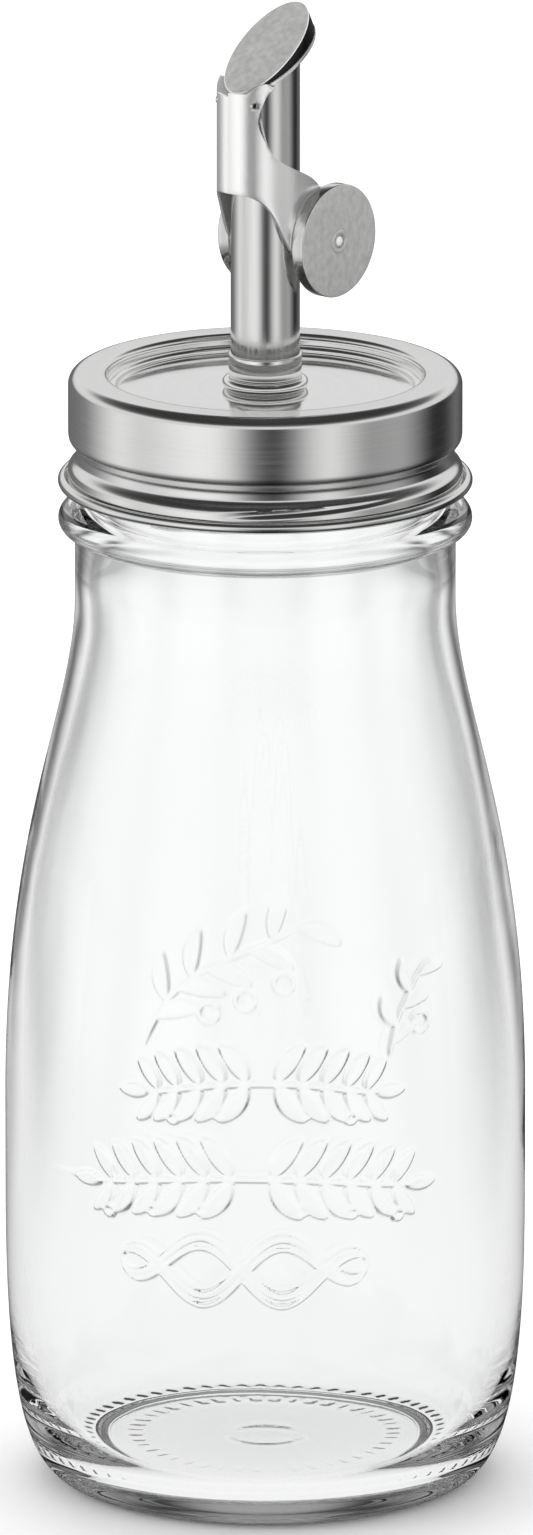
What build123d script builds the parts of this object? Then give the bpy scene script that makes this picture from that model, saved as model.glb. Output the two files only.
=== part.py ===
"""Glass table bottle for oil with a screw band, a lid disc and a gravity-flap pouring spout.

Units are millimetres. +Z is up, the origin is the centre of the base on the table, and the spout
pours towards +X. The flap turns about a cross pin on the -X side of the spout tube.
"""
import math
import os

from build123d import *

# Glass body
BODY_R = 38.1
BODY_STRAIGHT_LOW = 42.6
BODY_STRAIGHT_HIGH = 57.3
FOOT_R = 27.6
FOOT_HALF_WIDTH = 0.6
PUSH_UP = 1.8
PUSH_UP_EDGE = 4.0
BASE_GLASS = 2.4
WALL_GLASS = 2.3
BOTTLE_H = 164.2

# Handles of the curves of the heel and the shoulder: lengths, or shares of the curve's height
HEEL_SWELL = 7.6
HEEL_WALL_SHARE = 0.34
HEEL_INSIDE_SWELL = 10.5
HEEL_INSIDE_SHARE = 0.36
SHOULDER_LOW_SHARE = 0.563
SHOULDER_HIGH_SHARE = 0.233

# Raised leaves on the front of the straight wall; their azimuth grows from +X towards +Y
FRONT_ANGLE = 220.3
LEAF_COUNT = 13
LEAF_STEP_ANGLE = 6.7
LEAF_HALF_LENGTH = 3.2
LEAF_HALF_WIDTH = 1.1
LEAF_LEAN = 35.0
LEAF_HEIGHT = 0.45
LEAF_Z = 50.0

# Glass neck and finish, measured down from the rim
NECK_R = 27.75
MOUTH_R = 24.0
NECK_LENGTH = 31.4
FINISH_R = 26.2
BEAD_R = 30.15
BEAD_SECTION_R = 1.75
BEAD_DROP = 19.7
BEAD_FOOT = 0.3
BEAD_HEAD = 0.9
RIM_ROUND = 0.9
RIM_BEVEL_WIDTH = 0.54

# Thread
THREAD_STARTS = 2
THREAD_LEAD = 7.25
THREAD_SWEEP = 170.0
THREAD_HEIGHT = 1.4
THREAD_DEPTH = 1.2
THREAD_TOP_DROP = 11.9
THREAD_ROOT = 0.15
LUG_HEIGHT = 1.1
LUG_CLEARANCE = 0.12

# Screw band, rolled from thin sheet
SHEET = 0.45
BAND_R = 28.7
BAND_SHOULDER_R = 1.8
BAND_OPENING_R = 23.0
BAND_GROOVE_R = 27.4
BAND_LOWER_R = 28.8
BAND_SKIRT_H = 9.6
BAND_GROOVE_DROP = 12.2
GROOVE_HALF = 0.5
GROOVE_SLOPE = 1.1
BAND_H = 16.9
CURL_SECTION_R = 0.8
CURL_R = 30.2

# Lid disc and gasket
GASKET = 1.1
GASKET_INSET = 0.3
RECESS_R = 22.85
RECESS_DEPTH = 1.15
STEP_WIDTH = 1.4
STEP_DEPTH = 0.8

# Spout tube and its fastening through the lid disc
TUBE_R = 5.04
TUBE_WALL = 0.5
TUBE_BELOW_PANEL = 8.0
HOLE_CLEARANCE = 0.05
SPOUT_REACH = 47.6
COLLAR_R = 6.3
COLLAR_H = 1.8
SLEEVE_WALL = 0.3
SLEEVE_H = 5.2
WASHER_R = 8.6
WASHER = 1.0
NUT_FLATS = 14.0
NUT_H = 3.2

# Flap: the slopes of its tongue and of its face, and the gap that the closed tongue leaves
TONGUE_SLOPE = 26.9
FACE_SLOPE = 37.2
TONGUE_GAP = 0.05
TONGUE_MARGIN = 0.08
PLATE_AT_AXIS = 2.0
PLATE_HALF_WIDTH = 5.2
PLATE_HALF_RUN = 8.0
PLATE_FORWARD = 1.1
TONGUE_ROOT_X = -3.9

# Saddle wall and hinge
SADDLE_FRONT_GAP = 2.81
SADDLE_SIDE_GAP = 0.51
LEFT_EAR_TOP = 1.2
PIN_R = 0.55
PIN_BORE_R = 0.36
PIN_STANDOFF = 1.46
PIN_BELOW_TONGUE = 1.0
PIN_HALF = 3.5
PIN_RUNNING_GAP = 0.03
KNUCKLE_R = 0.82
KNUCKLE_HALF = 1.5
KNUCKLE_FOOT = 2.0

# Counterweights
WEIGHT_R = 8.34
WEIGHT_T = 2.1
WEIGHT_CHAMFER = 0.15
WEIGHT_AHEAD = 2.03
WEIGHT_BELOW_PIN = 21.9
RIVET_HEAD_R = 1.8
RIVET_SHANK_R = 1.3
RIVET_HEAD = 0.2
RIVET_GROOVE_R = 1.1
RIVET_GROOVE_DEPTH = 0.35
RIVET_CENTRE_R = 0.7

# How far a cutting tool passes the face that it cuts
OVERSHOOT = 1.0

# Places that follow from the sizes above
RIM_Z = BOTTLE_H
NECK_LOW = RIM_Z - NECK_LENGTH
BEAD_Z = RIM_Z - BEAD_DROP
LID_TOP = RIM_Z + GASKET + SHEET
BAND_TOP = LID_TOP + SHEET
LEDGE_TOP = LID_TOP - RECESS_DEPTH
PANEL_TOP = LEDGE_TOP - STEP_DEPTH
BAND_BOTTOM = BAND_TOP - BAND_H
PANEL_R = RECESS_R - STEP_WIDTH
LID_R = BAND_R - BAND_SHOULDER_R
LIP_Z = RIM_Z + SPOUT_REACH
TONGUE_RISE = math.tan(math.radians(TONGUE_SLOPE))
FACE_RISE = math.tan(math.radians(FACE_SLOPE))
TONGUE_Z = LIP_Z + TONGUE_GAP
TONGUE_THICK = SHEET / math.cos(math.radians(TONGUE_SLOPE))
TONGUE_TOP = TONGUE_Z + TONGUE_THICK
SADDLE_A = TUBE_R + SADDLE_FRONT_GAP + SHEET
SADDLE_B = TUBE_R + SADDLE_SIDE_GAP + SHEET
PIN_X = -(TUBE_R + PIN_STANDOFF)
PIN_Z = TONGUE_Z + PIN_X * TONGUE_RISE - PIN_BELOW_TONGUE
WEIGHT_X = TUBE_R + WEIGHT_AHEAD
WEIGHT_Z = PIN_Z - WEIGHT_BELOW_PIN


def outline_face(*edges):
    """Closed face on the XZ plane from edges given in order."""
    return make_face(Curve() + [Plane.XZ * edge for edge in edges])


def lathe(points):
    """Solid turned about Z from a closed list of (radius, height) points."""
    return revolve(make_face(Plane.XZ * Polyline(*points, close=True)), Axis.Z)


def cylinder_between(radius, low, high):
    """Upright cylinder about Z from one height to another."""
    return Pos(0, 0, (low + high) / 2) * Cylinder(radius, high - low)


def cross_cylinder(radius, half_length, x, z):
    """Cylinder along Y, centred on the XZ plane."""
    return Pos(x, 0, z) * Rot(90, 0, 0) * Cylinder(radius, 2 * half_length)


def slope_slab(low_at_axis, rise, reach, thickness):
    """Slab that rises towards +X; low_at_axis is the height of its lower face over the origin."""
    corners = [(-reach, low_at_axis - reach * rise), (reach, low_at_axis + reach * rise)]
    upper = [(x, z + thickness) for x, z in reversed(corners)]
    side = make_face(Plane.XZ * Polyline(*corners, *upper, close=True))
    return extrude(side, amount=reach, both=True)


def helical_ridge(root_r, crest_r, height, z_low, sweep_deg, start_deg, inward=False):
    """One raised run of a right-hand thread; its root is sunk a little into the wall."""
    rise = THREAD_LEAD * sweep_deg / 360
    foot_r = root_r + THREAD_ROOT if inward else root_r - THREAD_ROOT
    path = Helix(THREAD_LEAD, rise, foot_r)
    section = Polyline(
        (foot_r, -height / 2), (crest_r, -height / 4), (crest_r, height / 4), (foot_r, height / 2), close=True
    )
    ridge = sweep(make_face(Plane.XZ * section), path=path, is_frenet=True)
    return Pos(0, 0, z_low) * Rot(0, 0, start_deg) * ridge


def raised_leaves():
    """Row of leaves on the straight wall: upright oval prisms, cut off at one height over the wall."""
    leaves = []
    for index in range(LEAF_COUNT):
        turn = FRONT_ANGLE + (index - (LEAF_COUNT - 1) / 2) * LEAF_STEP_ANGLE
        lean = LEAF_LEAN if index % 2 else -LEAF_LEAN
        oval = Rot(0, 90, 0) * Rot(0, 0, lean) * Ellipse(LEAF_HALF_LENGTH, LEAF_HALF_WIDTH)
        prism = extrude(Pos(BODY_R - WALL_GLASS / 2, 0, LEAF_Z) * oval, amount=WALL_GLASS, dir=(1, 0, 0))
        leaves.append(Rot(0, 0, turn) * prism)
    shell = cylinder_between(BODY_R + LEAF_HEIGHT, LEAF_Z - LEAF_HALF_LENGTH, LEAF_Z + LEAF_HALF_LENGTH)
    return [leaf & shell for leaf in leaves]


def glass_bottle():
    """Outer and inner outline turned together, with the thread on the finish and leaves on the wall."""
    shoulder = NECK_LOW - BODY_STRAIGHT_HIGH
    shoulder_low_z = BODY_STRAIGHT_HIGH + shoulder * SHOULDER_LOW_SHARE
    shoulder_high_z = NECK_LOW - shoulder * SHOULDER_HIGH_SHARE
    inner_r = BODY_R - WALL_GLASS
    inner_floor = PUSH_UP + BASE_GLASS
    neck_inner = NECK_R - WALL_GLASS
    foot_in = FOOT_R - FOOT_HALF_WIDTH
    foot_out = FOOT_R + FOOT_HALF_WIDTH
    bead_low = BEAD_Z - BEAD_SECTION_R
    bead_high = BEAD_Z + BEAD_SECTION_R
    bead_core = BEAD_R - BEAD_SECTION_R
    outline = [
        Line((0, PUSH_UP), (foot_in - PUSH_UP_EDGE, PUSH_UP)),
        Bezier(
            (foot_in - PUSH_UP_EDGE, PUSH_UP), (foot_in - 0.4 * PUSH_UP_EDGE, PUSH_UP),
            (foot_in - 0.3 * PUSH_UP_EDGE, 0), (foot_in, 0),
        ),
        Line((foot_in, 0), (foot_out, 0)),
        Bezier(
            (foot_out, 0), (foot_out + HEEL_SWELL, 0),
            (BODY_R, BODY_STRAIGHT_LOW * HEEL_WALL_SHARE), (BODY_R, BODY_STRAIGHT_LOW),
        ),
        Line((BODY_R, BODY_STRAIGHT_LOW), (BODY_R, BODY_STRAIGHT_HIGH)),
        Bezier(
            (BODY_R, BODY_STRAIGHT_HIGH), (BODY_R, shoulder_low_z),
            (NECK_R, shoulder_high_z), (NECK_R, NECK_LOW),
        ),
        Line((NECK_R, NECK_LOW), (NECK_R, bead_low - BEAD_FOOT)),
        Line((NECK_R, bead_low - BEAD_FOOT), (bead_core, bead_low)),
        ThreePointArc((bead_core, bead_low), (BEAD_R, BEAD_Z), (bead_core, bead_high)),
        Line((bead_core, bead_high), (FINISH_R, bead_high + BEAD_HEAD)),
        Line((FINISH_R, bead_high + BEAD_HEAD), (FINISH_R, RIM_Z - RIM_ROUND)),
        RadiusArc((FINISH_R, RIM_Z - RIM_ROUND), (FINISH_R - RIM_ROUND, RIM_Z), -RIM_ROUND),
        Line((FINISH_R - RIM_ROUND, RIM_Z), (MOUTH_R + RIM_BEVEL_WIDTH, RIM_Z)),
        Line((MOUTH_R + RIM_BEVEL_WIDTH, RIM_Z), (MOUTH_R, RIM_Z - RIM_ROUND)),
        Line((MOUTH_R, RIM_Z - RIM_ROUND), (MOUTH_R, bead_high)),
        Line((MOUTH_R, bead_high), (neck_inner, NECK_LOW)),
        Bezier(
            (neck_inner, NECK_LOW), (neck_inner, shoulder_high_z),
            (inner_r, shoulder_low_z), (inner_r, BODY_STRAIGHT_HIGH),
        ),
        Line((inner_r, BODY_STRAIGHT_HIGH), (inner_r, BODY_STRAIGHT_LOW)),
        Bezier(
            (inner_r, BODY_STRAIGHT_LOW), (inner_r, BODY_STRAIGHT_LOW * HEEL_INSIDE_SHARE),
            (foot_in - PUSH_UP_EDGE + HEEL_INSIDE_SWELL, inner_floor), (foot_in - PUSH_UP_EDGE, inner_floor),
        ),
        Line((foot_in - PUSH_UP_EDGE, inner_floor), (0, inner_floor)),
        Line((0, inner_floor), (0, PUSH_UP)),
    ]
    body = revolve(outline_face(*outline), Axis.Z)
    low = RIM_Z - THREAD_TOP_DROP - THREAD_LEAD * THREAD_SWEEP / 360
    for start in range(THREAD_STARTS):
        start_deg = start * 360 / THREAD_STARTS
        body += helical_ridge(FINISH_R, FINISH_R + THREAD_DEPTH, THREAD_HEIGHT, low, THREAD_SWEEP, start_deg)
    return body + raised_leaves()


def screw_band():
    """Thin turned band with a round shoulder, a rolled groove, an outward curl and runs for the thread."""
    shoulder_z = BAND_TOP - BAND_SHOULDER_R
    skirt_low = BAND_TOP - BAND_SKIRT_H
    groove_z = BAND_TOP - BAND_GROOVE_DROP
    neck_z = groove_z - GROOVE_HALF - GROOVE_SLOPE
    curl_z = BAND_BOTTOM + CURL_SECTION_R
    inside_r = BAND_R - SHEET
    lower_inside_r = BAND_LOWER_R - SHEET
    bend = SHEET / 2
    outline = [
        Line((BAND_OPENING_R, BAND_TOP), (LID_R, BAND_TOP)),
        RadiusArc((LID_R, BAND_TOP), (BAND_R, shoulder_z), BAND_SHOULDER_R),
        Polyline(
            (BAND_R, shoulder_z), (BAND_R, skirt_low), (BAND_GROOVE_R, groove_z + GROOVE_HALF),
            (BAND_GROOVE_R, groove_z - GROOVE_HALF), (BAND_LOWER_R, neck_z), (BAND_LOWER_R, curl_z),
            (lower_inside_r, curl_z), (lower_inside_r, neck_z + bend),
            (BAND_GROOVE_R - SHEET, groove_z - GROOVE_HALF - bend / 2),
            (BAND_GROOVE_R - SHEET, groove_z + GROOVE_HALF + bend / 2),
            (inside_r, skirt_low - bend), (inside_r, shoulder_z),
        ),
        RadiusArc((inside_r, shoulder_z), (LID_R, LID_TOP), -(BAND_SHOULDER_R - SHEET)),
        Polyline((LID_R, LID_TOP), (BAND_OPENING_R, LID_TOP), (BAND_OPENING_R, BAND_TOP)),
    ]
    band = revolve(outline_face(*outline), Axis.Z)
    band += Pos(0, 0, curl_z) * Torus(CURL_R - CURL_SECTION_R, CURL_SECTION_R)
    thread_low = RIM_Z - THREAD_TOP_DROP - THREAD_LEAD * THREAD_SWEEP / 360
    drop = THREAD_HEIGHT / 2 + LUG_HEIGHT / 2 + LUG_CLEARANCE
    lug_low = curl_z + LUG_HEIGHT / 2
    lug_high = neck_z - LUG_HEIGHT / 2
    lag = (lug_low + drop - thread_low) / THREAD_LEAD * 360
    for start in range(THREAD_STARTS):
        band += helical_ridge(
            lower_inside_r, FINISH_R + THREAD_DEPTH / 2, LUG_HEIGHT, lug_low,
            (lug_high - lug_low) / THREAD_LEAD * 360, lag + start * 360 / THREAD_STARTS, inward=True,
        )
    return band


def lid_disc():
    """Pressed disc with a stepped recess and a hole for the spout tube."""
    hole = TUBE_R + HOLE_CLEARANCE
    return lathe([
        (LID_R, LID_TOP), (RECESS_R, LID_TOP), (RECESS_R, LEDGE_TOP), (PANEL_R, LEDGE_TOP),
        (PANEL_R, PANEL_TOP), (hole, PANEL_TOP), (hole, PANEL_TOP - SHEET),
        (PANEL_R + SHEET, PANEL_TOP - SHEET), (PANEL_R + SHEET, LEDGE_TOP - SHEET),
        (RECESS_R + SHEET, LEDGE_TOP - SHEET), (RECESS_R + SHEET, LID_TOP - SHEET), (LID_R, LID_TOP - SHEET),
    ])


def lid_gasket():
    """Flat ring between the glass rim and the lid disc."""
    ring = cylinder_between(LID_R - GASKET_INSET, RIM_Z, RIM_Z + GASKET)
    return ring - cylinder_between(RECESS_R + SHEET + GASKET_INSET, RIM_Z, RIM_Z + GASKET)


def spout_tube():
    """Straight tube, cut off at the top along the flap's slope."""
    low = PANEL_TOP - SHEET - TUBE_BELOW_PANEL
    high = LIP_Z + 2 * TUBE_R
    bore = cylinder_between(TUBE_R - TUBE_WALL, low - OVERSHOOT, high + OVERSHOOT)
    tube = cylinder_between(TUBE_R, low, high) - bore
    return tube - slope_slab(LIP_Z, TONGUE_RISE, 3 * TUBE_R, 6 * TUBE_R)


def spout_collar():
    """Beaded collar with a thin sleeve, brazed round the tube and seated on the lid disc."""
    bead_z = PANEL_TOP + COLLAR_H / 2
    sleeve_r = TUBE_R + SLEEVE_WALL
    outline = [
        Line((TUBE_R, PANEL_TOP), (sleeve_r, PANEL_TOP)),
        ThreePointArc((sleeve_r, PANEL_TOP), (COLLAR_R, bead_z), (sleeve_r, PANEL_TOP + COLLAR_H)),
        Line((sleeve_r, PANEL_TOP + COLLAR_H), (sleeve_r, PANEL_TOP + SLEEVE_H)),
        Line((sleeve_r, PANEL_TOP + SLEEVE_H), (TUBE_R, PANEL_TOP + SLEEVE_H)),
        Line((TUBE_R, PANEL_TOP + SLEEVE_H), (TUBE_R, PANEL_TOP)),
    ]
    return revolve(outline_face(*outline), Axis.Z)


def spout_washer():
    """Seal ring under the lid disc."""
    top = PANEL_TOP - SHEET
    return cylinder_between(WASHER_R, top - WASHER, top) - cylinder_between(TUBE_R, top - WASHER, top)


def spout_nut():
    """Thin hexagon nut that pulls the collar down on the disc; the thread is plain here."""
    top = PANEL_TOP - SHEET - WASHER
    hexagon = extrude(RegularPolygon(NUT_FLATS / 2, 6, major_radius=False), amount=NUT_H)
    nut = Pos(0, 0, top - NUT_H) * hexagon
    return nut - cylinder_between(TUBE_R, top - NUT_H, top)


def saddle_side_window():
    """Side outline of the saddle wall on the XZ plane, drawn from the pin and the weight centre."""
    def pin(dx, dz):
        return (PIN_X + dx, PIN_Z + dz)

    def weight(dx, dz):
        return (WEIGHT_X + dx, WEIGHT_Z + dz)

    rear = Spline(
        pin(2.3, 2.55), pin(1.2, 1.05), pin(0.7, -0.3), pin(0.25, -2.3), pin(0.8, -4.6), pin(1.65, -6.6),
        pin(3.05, -8.3), pin(6.0, -10.1), weight(-1.9, 8.2),
    )
    lobe = Spline(
        weight(-1.9, 8.2), weight(2.2, 5.2), weight(3.4, 0.6), weight(1.6, -2.9), weight(-3.0, -3.1),
        weight(-8.2, -0.3),
    )
    lower = Spline(
        weight(-8.2, -0.3), weight(-9.8, 2.4), weight(-11.2, 5.2), pin(0.2, -14.0), pin(-1.0, -13.4),
        pin(-2.6, -13.3),
    )
    top = Polyline(
        pin(-2.6, -13.3), pin(-2.6, 1.75), pin(-0.9, 1.75), pin(0.2, 2.9), pin(1.3, 3.2), pin(2.3, 2.55)
    )
    return extrude(outline_face(rear, lobe, lower, top), amount=SADDLE_B + OVERSHOOT, both=True)


def u_profile(a, b, arm_end):
    """Plan outline of the saddle: half an ellipse round the -X side with straight arms towards +X."""
    return Ellipse(a, b) + Pos(arm_end / 2, 0) * Rectangle(arm_end, 2 * b)


def flap_saddle():
    """Bent sheet: a U-shaped wall round the tube, two arms, and the tongue that closes the tube.

    Only the ear on the -Y side rises past the tongue; the one on the +Y side ends just above the pin.
    """
    arm_end = WEIGHT_X + 3 * RIVET_HEAD_R
    low = WEIGHT_Z - WEIGHT_R
    height = LIP_Z + TUBE_R - low
    outer = extrude(u_profile(SADDLE_A, SADDLE_B, arm_end), amount=height)
    inner = extrude(u_profile(SADDLE_A - SHEET, SADDLE_B - SHEET, arm_end + OVERSHOOT), amount=height)
    wall = (Pos(0, 0, low) * (outer - inner)) & saddle_side_window()
    ear = Box(2 * SADDLE_A, 2 * SADDLE_B, 2 * TUBE_R)
    wall -= Pos(-SADDLE_A, SADDLE_B, PIN_Z + LEFT_EAR_TOP + TUBE_R) * ear
    oval = Ellipse(PLATE_HALF_RUN + TONGUE_MARGIN, PLATE_HALF_WIDTH + TONGUE_MARGIN)
    behind = Pos(TONGUE_ROOT_X - SADDLE_A, 0) * Rectangle(2 * SADDLE_A, 4 * SADDLE_B)
    root = Ellipse(SADDLE_A, SADDLE_B) & behind
    blank = Pos(0, 0, low) * extrude(Pos(PLATE_FORWARD, 0) * oval + root, amount=height + 2 * TUBE_R)
    tongue = blank & slope_slab(TONGUE_Z, TONGUE_RISE, 3 * TUBE_R, TONGUE_THICK)
    pin_hole = cross_cylinder(PIN_R, SADDLE_B + OVERSHOOT, PIN_X, PIN_Z)
    rivet_holes = cross_cylinder(RIVET_SHANK_R, SADDLE_B + OVERSHOOT, WEIGHT_X, WEIGHT_Z)
    return wall + tongue - pin_hole - rivet_holes


def tongue_plane():
    """Plane of the tongue's upper face, with its origin at the centre of the plate."""
    height = TONGUE_TOP + PLATE_FORWARD * TONGUE_RISE
    along, up = math.cos(math.radians(TONGUE_SLOPE)), math.sin(math.radians(TONGUE_SLOPE))
    return Plane((PLATE_FORWARD, 0, height), (along, 0, up), (-up, 0, along))


def flap_plate():
    """Oval thumb plate: its face is steeper than the tongue that it is brazed to."""
    run = PLATE_HALF_RUN / math.cos(math.radians(TONGUE_SLOPE))
    oval = extrude(tongue_plane() * Ellipse(run, PLATE_HALF_WIDTH), amount=4 * PLATE_AT_AXIS)
    return oval - slope_slab(TONGUE_TOP + PLATE_AT_AXIS, FACE_RISE, 4 * TUBE_R, 8 * PLATE_AT_AXIS)


def hinge_knuckle():
    """Short barrel on a foot, brazed to the -X side of the tube."""
    barrel = cross_cylinder(KNUCKLE_R, KNUCKLE_HALF, PIN_X, PIN_Z)
    foot = Pos(PIN_X / 2, 0, PIN_Z - KNUCKLE_FOOT / 2) * Box(-PIN_X, 2 * KNUCKLE_HALF, KNUCKLE_FOOT)
    web = foot - cylinder_between(TUBE_R, PIN_Z - 2 * KNUCKLE_FOOT, PIN_Z + KNUCKLE_FOOT)
    return barrel + web - cross_cylinder(PIN_R + PIN_RUNNING_GAP, SADDLE_B, PIN_X, PIN_Z)


def hinge_pin():
    """Hollow spring pin through both sides of the saddle and the knuckle."""
    bore = cross_cylinder(PIN_BORE_R, PIN_HALF + OVERSHOOT, PIN_X, PIN_Z)
    return cross_cylinder(PIN_R, PIN_HALF, PIN_X, PIN_Z) - bore


def counterweight(side):
    """Steel disc on the outside of one arm; side is +1 for +Y and -1 for -Y."""
    disc = cross_cylinder(WEIGHT_R, WEIGHT_T / 2, WEIGHT_X, WEIGHT_Z)
    disc = chamfer(disc.edges(), WEIGHT_CHAMFER)
    disc -= cross_cylinder(RIVET_SHANK_R, WEIGHT_T, WEIGHT_X, WEIGHT_Z)
    return Pos(0, side * (SADDLE_B + WEIGHT_T / 2), 0) * disc


def weight_rivet(side):
    """Rivet through a counterweight and its arm, with a groove pressed round the centre of its outer head."""
    inside = SADDLE_B - SHEET
    outside = SADDLE_B + WEIGHT_T
    groove = outside - RIVET_GROOVE_DEPTH
    rivet = lathe([
        (0, inside - RIVET_HEAD), (RIVET_HEAD_R, inside - RIVET_HEAD), (RIVET_HEAD_R, inside),
        (RIVET_SHANK_R, inside), (RIVET_SHANK_R, outside), (RIVET_HEAD_R, outside),
        (RIVET_HEAD_R, outside + RIVET_HEAD), (RIVET_GROOVE_R, outside + RIVET_HEAD),
        (RIVET_GROOVE_R, groove), (RIVET_CENTRE_R, groove), (RIVET_CENTRE_R, outside), (0, outside + RIVET_HEAD),
    ])
    return Pos(WEIGHT_X, 0, WEIGHT_Z) * Rot(-90 * side, 0, 0) * rivet


NODES = {
    "glass_bottle": glass_bottle,
    "lid_disc": lid_disc,
    "lid_gasket": lid_gasket,
    "spout_tube": spout_tube,
    "spout_collar": spout_collar,
    "spout_washer": spout_washer,
    "spout_nut": spout_nut,
    "hinge_knuckle": hinge_knuckle,
    "screw_band": screw_band,
    "flap_saddle": flap_saddle,
    "flap_plate": flap_plate,
    "hinge_pin": hinge_pin,
    "counterweight_left": lambda: counterweight(1),
    "counterweight_right": lambda: counterweight(-1),
    "weight_rivet_left": lambda: weight_rivet(1),
    "weight_rivet_right": lambda: weight_rivet(-1),
}

os.makedirs("parts", exist_ok=True)
for name, make in NODES.items():
    export_step(make(), f"parts/{name}.step")
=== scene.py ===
"""Looks of the table bottle for oil: glass body, screw lid and the spout with its gravity flap.

Lengths in the classes are millimetres and become metres when a mesh is made. +Z is up, the origin is the
centre of the base, and the spout pours towards +X.
"""
import logging
import math
from dataclasses import dataclass, field
from enum import Enum

import bpy
import numpy as np
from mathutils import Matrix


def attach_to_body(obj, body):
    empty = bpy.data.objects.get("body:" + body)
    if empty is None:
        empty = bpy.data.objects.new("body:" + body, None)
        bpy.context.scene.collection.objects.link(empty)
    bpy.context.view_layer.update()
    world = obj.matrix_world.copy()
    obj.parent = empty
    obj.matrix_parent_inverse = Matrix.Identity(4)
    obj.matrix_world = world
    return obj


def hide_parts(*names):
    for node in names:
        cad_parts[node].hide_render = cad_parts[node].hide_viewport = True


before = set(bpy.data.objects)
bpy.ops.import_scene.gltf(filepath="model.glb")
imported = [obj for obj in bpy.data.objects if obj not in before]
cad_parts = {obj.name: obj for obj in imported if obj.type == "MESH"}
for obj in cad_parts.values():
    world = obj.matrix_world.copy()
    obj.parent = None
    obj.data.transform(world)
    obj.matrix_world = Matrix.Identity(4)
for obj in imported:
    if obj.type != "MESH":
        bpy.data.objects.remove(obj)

MM = 0.001
TINY = 1e-6
log = logging.getLogger("oil_bottle")


class Body(Enum):
    """CAD bodies that a piece can ride on."""

    BOTTLE = "bottle"
    LID = "lid"
    BAND = "band"
    FLAP = "flap"


class Slot(Enum):
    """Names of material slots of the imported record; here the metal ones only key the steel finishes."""

    GLASS = "clear_glass"
    BRUSHED = "brushed_steel"
    POLISHED = "polished_steel"
    TUBE = "tube_steel"
    MATTE = "matte_steel"


# ---------------------------------------------------------------- outlines

def run(start: tuple, end: tuple, count: int) -> np.ndarray:
    """Points on a straight line, start + t * (end - start) for even t.

    Args:
        start: first point.
        end: last point.
        count: number of steps between them.
    Returns:
        Array of count + 1 points.
    """
    t = np.linspace(0, 1, count + 1)[:, None]
    return np.array(start) + t * (np.array(end) - np.array(start))


def bow(a: tuple, b: tuple, c: tuple, d: tuple, count: int) -> np.ndarray:
    """Points on a cubic Bezier curve, the sum of its four points weighted by the Bernstein polynomials.

    Args:
        a: first point.
        b: handle of the first point.
        c: handle of the last point.
        d: last point.
        count: number of steps.
    Returns:
        Array of count + 1 points.
    """
    t = np.linspace(0, 1, count + 1)[:, None]
    weights = ((1 - t) ** 3, 3 * t * (1 - t) ** 2, 3 * t**2 * (1 - t), t**3)
    return sum(w * np.array(p) for w, p in zip(weights, (a, b, c, d)))


def turn(centre: tuple, radius: float, start_deg: float, end_deg: float, count: int) -> np.ndarray:
    """Points on an arc, centre + radius * (cos, sin) of evenly spaced angles.

    Args:
        centre: middle of the arc.
        radius: its radius.
        start_deg: first angle, in degrees.
        end_deg: last angle, in degrees.
        count: number of steps.
    Returns:
        Array of count + 1 points.
    """
    angle = np.radians(np.linspace(start_deg, end_deg, count + 1))
    return np.array(centre) + radius * np.stack([np.cos(angle), np.sin(angle)], 1)


def trail(*parts: np.ndarray) -> np.ndarray:
    """Joins outline parts end to end and drops each point that repeats the one before it."""
    points = np.concatenate(parts)
    step = np.linalg.norm(np.diff(points, axis=0), axis=1)
    return points[np.concatenate([[True], step > TINY])]


def sheet_outline(middle: np.ndarray, thickness: float) -> np.ndarray:
    """Closed outline of a bent sheet: its middle line moved half a thickness each way along the normals.

    Args:
        middle: middle line, as (radius, height) points.
        thickness: sheet thickness.
    Returns:
        Closed outline whose last point isn't repeated.
    """
    along = np.gradient(middle, axis=0)
    along /= np.linalg.norm(along, axis=1)[:, None]
    normal = np.stack([-along[:, 1], along[:, 0]], 1) * thickness / 2
    return np.concatenate([middle + normal, (middle - normal)[::-1]])


def smooth(x: np.ndarray) -> np.ndarray:
    """Smooth step, 3x^2 - 2x^3 with x held between 0 and 1."""
    x = np.clip(x, 0, 1)
    return x * x * (3 - 2 * x)


# ---------------------------------------------------------------- meshes

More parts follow.
